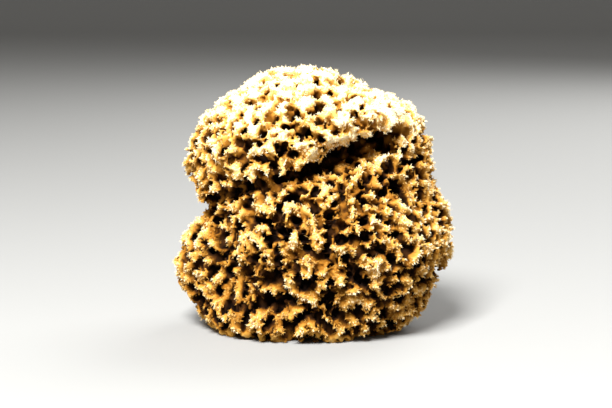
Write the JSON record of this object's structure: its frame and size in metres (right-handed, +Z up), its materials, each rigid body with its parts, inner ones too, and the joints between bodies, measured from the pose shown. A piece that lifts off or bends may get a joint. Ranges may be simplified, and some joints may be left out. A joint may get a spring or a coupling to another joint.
{
  "type": "sea sponge",
  "caption": "Dried natural sea sponge, a rounded porous block with a deep fold across its front and a flat cut foot, for display, bath or shell scenes.",
  "frame": {"origin": "on the surface that the sponge rests on, under the middle of its outline", "axes": "+X across the front from the lower left lobe to the right flank, +Y from the front with the fold to the back, +Z up"},
  "size_m": [0.13, 0.112, 0.121],
  "materials": {
    "sponge_fibre": "dry, matt, springy sponge fibre, cream at the tips and golden in the pores"
  },
  "bodies": {
    "root": {"sponge": "sponge_fibre"}
  },
  "joints": []
}
